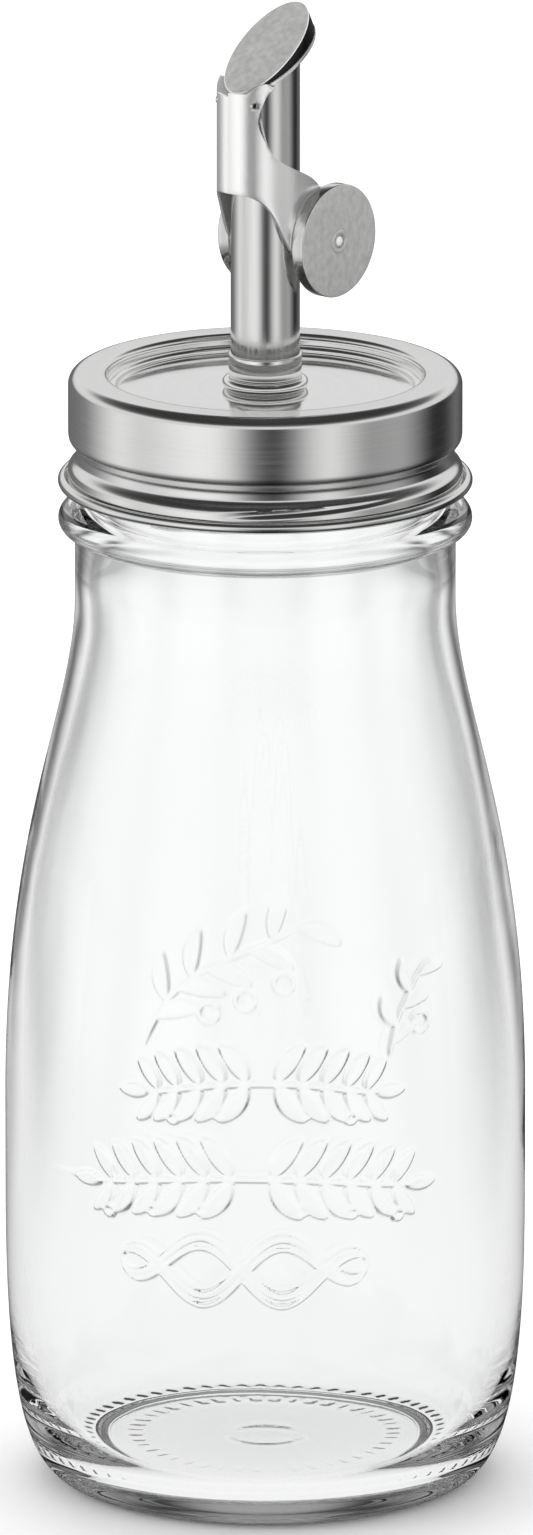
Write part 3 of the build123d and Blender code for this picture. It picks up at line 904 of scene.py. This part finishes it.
@dataclass
class SoftEdges:
    """Copies of CAD pieces whose sharp edges are broken, as sheet and cut metal has them."""

    merge: float = 0.004
    angle_deg: float = 28.0
    flat_deg: float = 0.5
    tongue_slope: float = 26.9
    face_slope: float = 37.2

    def build(self, node: str, name: str, width: float, slot: Slot, body: Body) -> bpy.types.Object:
        """Copies a CAD node, merges its loose triangles, makes each flat one face and bevels the edges.

        Args:
            node: the CAD node.
            name: name of the new piece.
            width: width of the broken edge.
            slot: material slot; not used.
            body: body that it rides on.
        Returns:
            The new piece.
        """
        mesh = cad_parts[node].data.copy()
        mesh.name = name
        piece = bpy.data.objects.new(name, mesh)
        bpy.context.scene.collection.objects.link(piece)
        weld = piece.modifiers.new("weld", "WELD")
        weld.merge_threshold = self.merge * MM
        flat = piece.modifiers.new("whole_flats", "DECIMATE")
        flat.decimate_type = "DISSOLVE"
        flat.angle_limit = math.radians(self.flat_deg)
        bevel = piece.modifiers.new("broken_edges", "BEVEL")
        bevel.width = width * MM
        bevel.segments = 2
        bevel.limit_method = "ANGLE"
        bevel.angle_limit = math.radians(self.angle_deg)
        bevel.use_clamp_overlap = True
        graph = bpy.context.evaluated_depsgraph_get()
        piece.data = bpy.data.meshes.new_from_object(piece.evaluated_get(graph))
        piece.modifiers.clear()
        piece.data.polygons.foreach_set("use_smooth", np.ones(len(piece.data.polygons), bool))
        piece.data.set_sharp_from_angle(angle=math.radians(self.angle_deg))
        return attach(piece, body, node)

    def paint_plate_shade_and_highlight(self, piece: bpy.types.Object) -> None:
        """Gives the plate's side a near-black steel as a painted dark reflection, and the broken edge round
        its face a near-white one as a painted highlight.
        """
        lean, slope = math.radians(self.tongue_slope), math.radians(self.face_slope)
        normals = face_vectors(piece, "normal")
        along_cut = normals @ np.array([-math.sin(lean), 0, math.cos(lean)])
        along_face = normals @ np.array([-math.sin(slope), 0, math.cos(slope)])
        side = np.abs(along_cut) < 0.2
        # The side faces get the painted dark reflection (slot 1), and the bevel round the face gets the
        # painted highlight (slot 2).
        finish_faces(piece, side, 1)
        finish_faces(piece, ~side & (along_cut > 0) & (along_face < 0.99), 2)


# ---------------------------------------------------------------- finishes

class Tree:
    """Short calls for adding and joining the nodes of one node tree."""

    def __init__(self, tree: bpy.types.NodeTree) -> None:
        """Keeps the tree that the calls work on."""
        self.tree = tree

    def add(self, kind: str, **settings: object) -> bpy.types.Node:
        """Adds a node of a kind and sets its properties."""
        node = self.tree.nodes.new(kind)
        for name, value in settings.items():
            setattr(node, name, value)
        return node

    def put(self, socket: bpy.types.NodeSocket, value: object) -> None:
        """Joins an output to a socket, or sets the socket's own value."""
        if isinstance(value, bpy.types.NodeSocket):
            self.tree.links.new(value, socket)
        else:
            socket.default_value = value

    def math(self, operation: str, *values: object, clamp: bool = False) -> bpy.types.NodeSocket:
        """Adds a Math node with these operands and returns its result."""
        node = self.add("ShaderNodeMath", operation=operation, use_clamp=clamp)
        for socket, value in zip(node.inputs, values):
            self.put(socket, value)
        return node.outputs[0]

    def span(self, value: object, low: object, high: object, out_low: object = 0.0, out_high: object = 1.0,
             stepped: bool = False) -> bpy.types.NodeSocket:
        """Maps a value from one range to another, held at its ends, along a smooth step where stepped."""
        node = self.add("ShaderNodeMapRange", interpolation_type="SMOOTHSTEP" if stepped else "LINEAR")
        for name, item in (("Value", value), ("From Min", low), ("From Max", high), ("To Min", out_low),
                           ("To Max", out_high)):
            self.put(node.inputs[name], item)
        return node.outputs["Result"]

    def ramp(self, value: object, stops: tuple) -> bpy.types.NodeSocket:
        """Adds a grey colour ramp with (place, value) stops and returns its colour."""
        node = self.add("ShaderNodeValToRGB")
        node.color_ramp.interpolation = "B_SPLINE"
        elements = node.color_ramp.elements
        while len(elements) < len(stops):
            elements.new(0.5)
        for element, (place, level) in zip(elements, stops):
            element.position = place
            element.color = (level, level, level, 1)
        self.put(node.inputs[0], value)
        return node.outputs["Color"]

    def noise(self, vector: object, scale: float, detail: float = 2.0) -> bpy.types.NodeSocket:
        """Adds a noise texture and returns its factor."""
        node = self.add("ShaderNodeTexNoise")
        node.inputs["Scale"].default_value = scale
        node.inputs["Detail"].default_value = detail
        self.put(node.inputs["Vector"], vector)
        return node.outputs["Fac"]

    def scale(self, vector: object, factor: object) -> bpy.types.NodeSocket:
        """Multiplies a vector by a number."""
        node = self.add("ShaderNodeVectorMath", operation="SCALE")
        self.put(node.inputs[0], vector)
        self.put(node.inputs["Scale"], factor)
        return node.outputs[0]

    def length(self, x: object, y: object) -> bpy.types.NodeSocket:
        """Distance from the Z axis, sqrt(x^2 + y^2)."""
        return self.math("SQRT", self.math("ADD", self.math("MULTIPLY", x, x), self.math("MULTIPLY", y, y)))

    def place(self) -> bpy.types.NodeSocket:
        """Object coordinates."""
        return self.add("ShaderNodeTexCoord").outputs["Object"]

    def marks(self, scale: float) -> bpy.types.NodeSocket:
        """Adds the handling group at a scale and returns its mask."""
        node = self.add("ShaderNodeGroup", node_tree=HANDLING_GROUP)
        node.inputs["Scale"].default_value = scale
        return node.outputs["Mask"]

    def vector(self, x: object, y: object, z: object) -> bpy.types.NodeSocket:
        """Joins three numbers to a vector."""
        node = self.add("ShaderNodeCombineXYZ")
        for socket, value in zip(node.inputs, (x, y, z)):
            self.put(socket, value)
        return node.outputs[0]

    def parts(self, vector: object) -> tuple:
        """Splits a vector into its three numbers."""
        node = self.add("ShaderNodeSeparateXYZ")
        self.put(node.inputs[0], vector)
        return tuple(node.outputs)

    def bump(self, height: object, strength: float, distance: float,
             normal: object = None) -> bpy.types.NodeSocket:
        """Adds a bump of a height in metres and returns its normal."""
        node = self.add("ShaderNodeBump")
        node.inputs["Strength"].default_value = strength
        node.inputs["Distance"].default_value = distance
        self.put(node.inputs["Height"], height)
        if normal is not None:
            self.put(node.inputs["Normal"], normal)
        return node.outputs["Normal"]


def new_group(name: str, inputs: dict, outputs: tuple) -> tuple:
    """Makes a shader node group with named inputs and outputs.

    Args:
        name: name of the group.
        inputs: each input's name and (socket type, value).
        outputs: names of its number outputs.
    Returns:
        The group, its Tree, its input node and its output node.
    """
    group = bpy.data.node_groups.new(name, "ShaderNodeTree")
    for key, (kind, value) in inputs.items():
        socket = group.interface.new_socket(name=key, in_out="INPUT", socket_type=kind)
        if value is not None:
            socket.default_value = value
    for key in outputs:
        group.interface.new_socket(name=key, in_out="OUTPUT", socket_type="NodeSocketFloat")
    tree = Tree(group)
    return group, tree, tree.add("NodeGroupInput"), tree.add("NodeGroupOutput")


def turned_grain() -> bpy.types.NodeTree:
    """Fine rings left by turning: noise over radius and height, with a slow wander along each ring."""
    group, t, given, made = new_group("turned_grain", {
        "Lines": ("NodeSocketFloat", 2500.0), "Wander": ("NodeSocketFloat", 60.0)}, ("Grain",))
    x, y, z = t.parts(t.place())
    lines, wander = given.outputs["Lines"], given.outputs["Wander"]
    across = t.vector(t.math("MULTIPLY_ADD", t.length(x, y), lines, t.math("MULTIPLY", x, wander)),
                      t.math("MULTIPLY", y, wander), t.math("MULTIPLY", z, lines))
    t.put(made.inputs["Grain"], t.noise(across, 1.0, 3.0))
    return group


def drawn_grain() -> bpy.types.NodeTree:
    """Fine lines left by drawing: noise that is stretched along the height."""
    group, t, given, made = new_group("drawn_grain", {
        "Lines": ("NodeSocketFloat", 3000.0), "Stretch": ("NodeSocketFloat", 60.0)}, ("Grain",))
    x, y, z = t.parts(t.place())
    lines = given.outputs["Lines"]
    along = t.vector(t.math("MULTIPLY", x, lines), t.math("MULTIPLY", y, lines),
                     t.math("MULTIPLY", z, given.outputs["Stretch"]))
    t.put(made.inputs["Grain"], t.noise(along, 1.0, 3.0))
    return group


def handling() -> bpy.types.NodeTree:
    """Soft marks from handling: two scales of noise, multiplied, as a mask from 0 to 1."""
    group, t, given, made = new_group("handling", {"Scale": ("NodeSocketFloat", 60.0)}, ("Mask",))
    scaled = t.scale(t.place(), given.outputs["Scale"])
    broad = t.span(t.noise(scaled, 1.0, 2.0), 0.35, 0.7)
    fine = t.span(t.noise(scaled, 5.0, 4.0), 0.3, 0.75)
    t.put(made.inputs["Mask"], t.math("MULTIPLY", broad, fine, clamp=True))
    return group


def new_material(name: str) -> tuple:
    """Makes a material; returns it, its Tree and the inputs of its Principled shader."""
    mat = bpy.data.materials.new(name)
    mat.use_nodes = True
    return mat, Tree(mat.node_tree), mat.node_tree.nodes["Principled BSDF"].inputs


GRAIN_GROUPS = {"turned": turned_grain(), "drawn": drawn_grain()}
HANDLING_GROUP = handling()


@dataclass(frozen=True)
class SteelFinish:
    """Stainless steel with a grain, soft handling marks and its own polish."""

    name: str
    colour: tuple
    roughness: float
    grain: str = "turned"
    lines: float = 2500.0
    wander: float = 60.0
    grain_bump: float = 0.12
    grain_tone: float = 0.05
    rough_spread: float = 0.06
    marks: float = 0.05
    marks_scale: float = 60.0
    anisotropy: float = 0.0
    pits: float = 0.0
    metal: float = 1.0
    grain_depth: float = 0.00004
    pit_scale: float = 2600.0
    pit_depth: float = 0.00005

    def make(self) -> bpy.types.Material:
        """Builds the material: grain moves tone, roughness and bump, and marks add to the roughness."""
        mat, t, shader = new_material(self.name)
        grain = t.add("ShaderNodeGroup", node_tree=GRAIN_GROUPS[self.grain])
        grain.inputs["Lines"].default_value = self.lines
        grain.inputs[1].default_value = self.wander
        level = t.span(grain.outputs["Grain"], 0.3, 0.7, -1.0, 1.0)
        t.put(shader["Base Color"], t.scale(self.colour, t.math("MULTIPLY_ADD", level, self.grain_tone, 1.0)))
        rough = t.math("MULTIPLY_ADD", level, self.rough_spread, self.roughness)
        rough = t.math("MULTIPLY_ADD", t.marks(self.marks_scale), self.marks, rough, clamp=True)
        t.put(shader["Roughness"], rough)
        normal = t.bump(grain.outputs["Grain"], self.grain_bump, self.grain_depth)
        if self.pits:
            normal = t.bump(t.noise(t.place(), self.pit_scale, 2.0), self.pits, self.pit_depth, normal)
        t.put(shader["Normal"], normal)
        shader["Metallic"].default_value = self.metal
        if self.anisotropy:
            shader["Anisotropic"].default_value = self.anisotropy
            shader["Anisotropic Rotation"].default_value = 0.25
            t.put(shader["Tangent"], t.add("ShaderNodeTangent", direction_type="RADIAL", axis="Z").outputs[0])
        return mat


@dataclass(frozen=True)
class ClearGlass:
    """Colourless soda glass with the faint unevenness of a moulded skin."""

    name: str = "soda_glass"
    colour: tuple = (0.991, 0.995, 0.994, 1.0)
    ior: float = 1.5
    waves: float = 0.05
    wave_scale: float = 90.0
    wave_depth: float = 0.0008
    marks_scale: float = 45.0
    cloud: float = 0.012

    def make(self) -> bpy.types.Material:
        """Builds the material: slow noise gives the skin its waves, and handling marks cloud it."""
        mat, t, shader = new_material(self.name)
        shader["Base Color"].default_value = self.colour
        shader["Transmission Weight"].default_value = 1.0
        shader["IOR"].default_value = self.ior
        t.put(shader["Roughness"], t.math("MULTIPLY", t.marks(self.marks_scale), self.cloud))
        t.put(shader["Normal"], t.bump(t.noise(t.place(), self.wave_scale, 1.0), self.waves, self.wave_depth))
        return mat


@dataclass(frozen=True)
class SealRubber:
    """Pale sealing rubber with a fine skin."""

    name: str = "seal_rubber_skin"
    colour: tuple = (0.62, 0.6, 0.56)
    marks_scale: float = 150.0
    roughness: tuple = (0.55, 0.75)
    skin_scale: float = 3000.0
    skin_depth: float = 0.00005

    def make(self) -> bpy.types.Material:
        """Builds the material: handling marks move tone and roughness, and a fine noise gives the skin."""
        mat, t, shader = new_material(self.name)
        mask = t.marks(self.marks_scale)
        t.put(shader["Base Color"], t.scale(self.colour, t.span(mask, 0.0, 1.0, 1.0, 0.85)))
        t.put(shader["Roughness"], t.span(mask, 0.0, 1.0, *self.roughness))
        t.put(shader["Normal"], t.bump(t.noise(t.place(), self.skin_scale, 3.0), 0.2, self.skin_depth))
        return mat


def dress(piece: bpy.types.Object, *materials: bpy.types.Material) -> None:
    """Gives a new piece its materials, or puts one material in every slot of a CAD node."""
    if piece.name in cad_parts:
        for slot in piece.material_slots:
            slot.material = materials[0]
        return
    piece.data.materials.clear()
    for material in materials:
        piece.data.materials.append(material)


# ---------------------------------------------------------------- studio

@dataclass
class Studio:
    """Pale table in a bright room: soft lamps, and light and dark stretches of wall for steel and glass."""

    azimuth: float = -49.7
    elevation: float = 15.0
    distance: float = 3.5
    view_height: float = 0.2241
    aim_z: float = 0.1066
    sensor: float = 36.0
    shift_x: float = 0.0008
    table_r: float = 14.0
    bounces: int = 24
    windows: int = 8
    through_depth: float = 0.86
    through_power: float = 2.4
    room_light: float = 1.12
    # Brightness by the sine of the elevation, in reflections and through the glass
    ceiling: tuple = ((0.0, 0.75), (0.2, 0.74), (0.36, 0.85), (0.46, 0.7), (0.56, 0.1), (0.8, 0.03),
                      (1.0, 0.06))
    ceiling_through: tuple = ((0.0, 0.75), (0.04, 0.6), (0.15, 0.45), (0.35, 0.3), (0.6, 0.2), (1.0, 0.2))
    # Brightness of the walls, by angle from the camera's side, positive to its right
    walls: tuple = ((-180, 0.12), (-160, 0.16), (-128, 0.2), (-110, 0.6), (-94, 0.98), (-78, 0.7),
                    (-60, 0.85), (-44, 1.0), (-28, 1.0), (-16, 0.6), (-6, 0.16), (4, 0.06), (12, 0.12),
                    (22, 0.5), (34, 0.9), (44, 0.8), (56, 0.42), (66, 0.34), (84, 0.45), (96, 0.28),
                    (108, 0.06), (118, 0.02), (132, 0.05), (146, 0.2), (160, 0.06), (180, 0.12))
    # Radii and brightness at them: the table in reflections, and far away through the glass
    table_reflected: tuple = (0.14, 0.46, 0.08, 1.0)
    table_far: tuple = (0.8, 3.0, 1.0, 0.55)
    # Radii between which the table through the glass passes from near_through to the walls' light
    table_through: tuple = (0.1, 0.42)
    near_through: float = 0.98
    # Name, place, size and power of the lamps
    lamp_list: tuple = (("top_lamp", (0.5, 0.5, 1.3), 0.9, 5.0), ("left_lamp", (-1.2, 0.6, 0.9), 0.6, 3.0))

    def back(self) -> np.ndarray:
        """Unit vector from the object to the camera: (sin a cos e, -cos a cos e, sin e)."""
        a, e = math.radians(self.azimuth), math.radians(self.elevation)
        return np.array([math.sin(a) * math.cos(e), -math.cos(a) * math.cos(e), math.sin(e)])

    def camera(self) -> None:
        """Makes the camera; the lens fits the view's height at the aim point: sensor * distance / height."""
        data = bpy.data.cameras.new("camera")
        data.sensor_width = self.sensor
        data.lens = self.sensor * self.distance / self.view_height
        data.clip_end = 100.0
        data.shift_x = self.shift_x
        camera = bpy.data.objects.new("camera", data)
        bpy.context.scene.collection.objects.link(camera)
        back = self.back()
        camera.location = np.array([0, 0, self.aim_z]) + back * self.distance
        turn_about_x = math.radians(90 - self.elevation)
        camera.rotation_euler = (turn_about_x, 0, math.radians(self.azimuth))
        bpy.context.scene.camera = camera

    def wall_light(self) -> bpy.types.NodeTree:
        """Group that turns a direction into the walls' brightness, reflected and through the glass.

        Reflected reads the ramp of the walls by angle. Through is 1 - depth * (1/2 - 1/2 cos(n a))^power,
        which leaves n bright windows with a narrow dark stretch between them.
        """
        group, t, given, made = new_group("wall_light", {"Direction": ("NodeSocketVector", None)},
                                          ("Reflected", "Through"))
        x, y, _ = t.parts(given.outputs["Direction"])
        front = self.back()
        angle = t.math("SUBTRACT", t.math("ARCTAN2", y, x), math.atan2(front[1], front[0]))
        share = t.math("FRACT", t.math("ADD", t.math("DIVIDE", angle, 2 * math.pi), 1.5))
        stops = tuple(((degrees + 180) / 360, level) for degrees, level in self.walls)
        t.put(made.inputs["Reflected"], t.ramp(share, stops))
        wave = t.math("COSINE", t.math("MULTIPLY", angle, float(self.windows)))
        dark = t.math("MULTIPLY_ADD", wave, -0.5, 0.5)
        deep = t.math("MULTIPLY", t.math("POWER", dark, self.through_power), -self.through_depth)
        t.put(made.inputs["Through"], t.math("ADD", deep, 1.0))
        return group

    def world(self, walls: bpy.types.NodeTree) -> None:
        """Makes the room: white behind the object, graded for reflections and for light bent by glass."""
        world = bpy.data.worlds.new("room")
        bpy.context.scene.world = world
        world.use_nodes = True
        world.cycles.sampling_method = "NONE"
        t = Tree(world.node_tree)
        direction = t.add("ShaderNodeTexCoord").outputs["Generated"]
        light = t.add("ShaderNodeGroup", node_tree=walls)
        t.put(light.inputs["Direction"], direction)
        _, _, z = t.parts(direction)
        upper = t.ramp(z, self.ceiling)
        reflected = t.span(t.span(z, 0.06, 0.18, stepped=True), 0.0, 1.0, light.outputs["Reflected"], upper)
        through = t.math("MULTIPLY", light.outputs["Through"], t.ramp(z, self.ceiling_through))
        path = t.add("ShaderNodeLightPath")
        level = t.span(path.outputs["Is Glossy Ray"], 0.0, 1.0, self.room_light, reflected)
        level = t.span(path.outputs["Transmission Depth"], 0.0, 1.0, level, through)
        level = t.span(path.outputs["Is Camera Ray"], 0.0, 1.0, level, 1.0)
        background = world.node_tree.nodes["Background"]
        t.put(background.inputs["Color"], t.vector(level, level, level))

    def table(self, walls: bpy.types.NodeTree) -> None:
        """Makes the pale table: white itself, and as bright as the walls for reflections and bent light."""
        angles = even_angles(96)
        rim = self.table_r * np.stack([np.cos(angles), np.sin(angles), 0 * angles], 1)
        ring = 1 + np.arange(len(angles))
        fan = np.stack([0 * ring, ring, np.roll(ring, -1)], 1)
        table = mesh_object("table", np.concatenate([np.zeros((1, 3)), rim]), np.zeros((0, 4), int), [fan])
        mat = bpy.data.materials.new("table_white")
        mat.use_nodes = True
        mat.cycles.emission_sampling = "NONE"
        t = Tree(mat.node_tree)
        mat.node_tree.nodes.remove(mat.node_tree.nodes["Principled BSDF"])
        place = t.place()
        light = t.add("ShaderNodeGroup", node_tree=walls)
        t.put(light.inputs["Direction"], place)
        x, y, _ = t.parts(place)
        radius = t.length(x, y)
        path = t.add("ShaderNodeLightPath")
        away = t.span(radius, *self.table_through, stepped=True)
        through = t.math("MULTIPLY", t.span(away, 0.0, 1.0, self.near_through, light.outputs["Through"]),
                         t.span(radius, *self.table_far))
        shade = t.span(radius, *self.table_reflected, stepped=True)
        reflected = t.math("MULTIPLY", light.outputs["Reflected"], shade)
        level = t.span(path.outputs["Transmission Depth"], 0.0, 1.0, reflected, through)
        bright = t.add("ShaderNodeEmission")
        t.put(bright.inputs["Color"], t.vector(level, level, level))
        white = t.add("ShaderNodeBsdfDiffuse")
        white.inputs["Color"].default_value = (0.94, 0.94, 0.94, 1)
        both = t.add("ShaderNodeMixShader")
        bent = t.math("MAXIMUM", path.outputs["Is Glossy Ray"], path.outputs["Is Transmission Ray"])
        for socket, value in zip(both.inputs, (bent, white.outputs[0], bright.outputs[0])):
            t.put(socket, value)
        t.put(mat.node_tree.nodes["Material Output"].inputs["Surface"], both.outputs[0])
        dress(table, mat)

    def lamps(self) -> None:
        """Makes two soft lamps over the table: a broad one above and behind, and a fill from the left."""
        for name, place, size, power in self.lamp_list:
            data = bpy.data.lights.new(name, "AREA")
            data.size = size
            data.energy = power
            lamp = bpy.data.objects.new(name, data)
            bpy.context.scene.collection.objects.link(lamp)
            lamp.location = place
            aim = np.array([0, 0, 0.12]) - np.array(place)
            lamp.visible_glossy = False
            lamp.visible_transmission = False
            lamp.rotation_euler = (math.atan2(math.hypot(aim[0], aim[1]), -aim[2]), 0,
                                   math.atan2(aim[0], -aim[1]) + math.pi)

    def build(self) -> None:
        """Makes the camera, the room, the table and the lamps."""
        self.camera()
        walls = self.wall_light()
        self.world(walls)
        self.table(walls)
        self.lamps()
        scene = bpy.context.scene
        scene.view_settings.view_transform = "Standard"
        scene.cycles.max_bounces = self.bounces
        scene.cycles.glossy_bounces = self.bounces
        scene.cycles.transmission_bounces = self.bounces


# ---------------------------------------------------------------- making

def steel_finishes() -> dict[Slot, bpy.types.Material]:
    """Makes the steel of each metal slot."""
    made = {
        Slot.BRUSHED: SteelFinish("band_steel", (0.8, 0.8, 0.795), 0.12, lines=2600, grain_bump=0.05,
                                  grain_tone=0.03, anisotropy=0.5),
        Slot.POLISHED: SteelFinish("bright_steel", (0.86, 0.86, 0.855), 0.08, lines=1200, grain_bump=0.02,
                                   grain_tone=0.02, rough_spread=0.02, marks=0.05),
        Slot.TUBE: SteelFinish("drawn_steel", (0.76, 0.76, 0.755), 0.11, grain="drawn", lines=1800,
                               grain_bump=0.04),
        Slot.MATTE: SteelFinish("dull_steel", (0.56, 0.56, 0.555), 0.42, grain="drawn", lines=1100,
                                wander=800, grain_bump=0.08, grain_tone=0.12, marks=0.1, pits=0.35,
                                metal=0.45),
    }
    return {slot: finish.make() for slot, finish in made.items()}


def build_flap(steel: dict[Slot, bpy.types.Material]) -> list[bpy.types.Object]:
    """Builds and dresses the flap's pieces and the nut, which has broken edges too.

    Args:
        steel: material of each metal slot.
    Returns:
        The pieces.
    """
    # Painted dark reflection: near-black steel for the flap plate's side, standing in for the dark room that
    # the polished edge would reflect.
    painted_dark_reflection = SteelFinish("painted_dark_reflection_steel", (0.06, 0.06, 0.06), 0.3, grain="drawn", lines=1500).make()
    # Painted highlight: near-white, mostly diffuse steel for the plate's broken edge and the rivets' domed
    # centres, standing in for their glints.
    painted_highlight = SteelFinish("painted_highlight_steel", (0.97, 0.97, 0.965), 0.3, metal=0.35).make()
    buffed = SteelFinish("buffed_sheet_steel", (0.97, 0.97, 0.965), 0.2, grain="drawn", lines=1500,
                         grain_bump=0.02, grain_tone=0.02, rough_spread=0.03, metal=0.8).make()
    weights = Counterweights()
    discs, rivets = weights.build()
    for disc in discs:
        dress(disc, steel[Slot.MATTE], steel[Slot.TUBE])
        finish_faces(disc, np.abs(face_vectors(disc, "normal")[:, 1]) < 0.5, 1)
    for rivet in rivets:
        dress(rivet, steel[Slot.MATTE], painted_highlight)
        # Painted highlight on the rivet's domed centre.
        finish_faces(rivet, weights.in_dome(rivet), 1)
    edges = SoftEdges()
    saddle = edges.build("flap_saddle", "saddle_sheet", 0.09, Slot.POLISHED, Body.FLAP)
    dress(saddle, buffed)
    plate = edges.build("flap_plate", "thumb_plate", 0.36, Slot.MATTE, Body.FLAP)
    # The plate's side carries the painted dark reflection, and the edge round its face carries the painted
    # highlight.
    dress(plate, steel[Slot.MATTE], painted_dark_reflection, painted_highlight)
    edges.paint_plate_shade_and_highlight(plate)
    nut = edges.build("spout_nut", "clamp_nut", 0.3, Slot.TUBE, Body.LID)
    dress(nut, steel[Slot.TUBE])
    return [*discs, *rivets, saddle, plate, nut]


def main() -> None:
    """Builds the pieces in order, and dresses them."""
    logging.basicConfig(level=logging.INFO, format="%(message)s")
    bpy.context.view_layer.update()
    Studio().build()
    steel = steel_finishes()
    rubber = SealRubber().make()
    bottle = GlassBottle().build()
    dress(bottle, ClearGlass().make())
    band, disc, collar = ScrewBand().build(), LidDisc().build(), SpoutCollar().build()
    dress(band, steel[Slot.BRUSHED])
    dress(disc, steel[Slot.POLISHED])
    dress(collar, steel[Slot.POLISHED])
    flap = build_flap(steel)
    for node in ("spout_tube", "hinge_knuckle", "hinge_pin"):
        dress(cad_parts[node], steel[Slot.TUBE])
    for node in ("lid_gasket", "spout_washer"):
        dress(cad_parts[node], rubber)
    for piece in (bottle, band, disc, collar, *flap):
        log.info("%s: %d faces", piece.name, len(piece.data.polygons))

    bpy.context.view_layer.update()


if __name__ == "__main__":
    main()
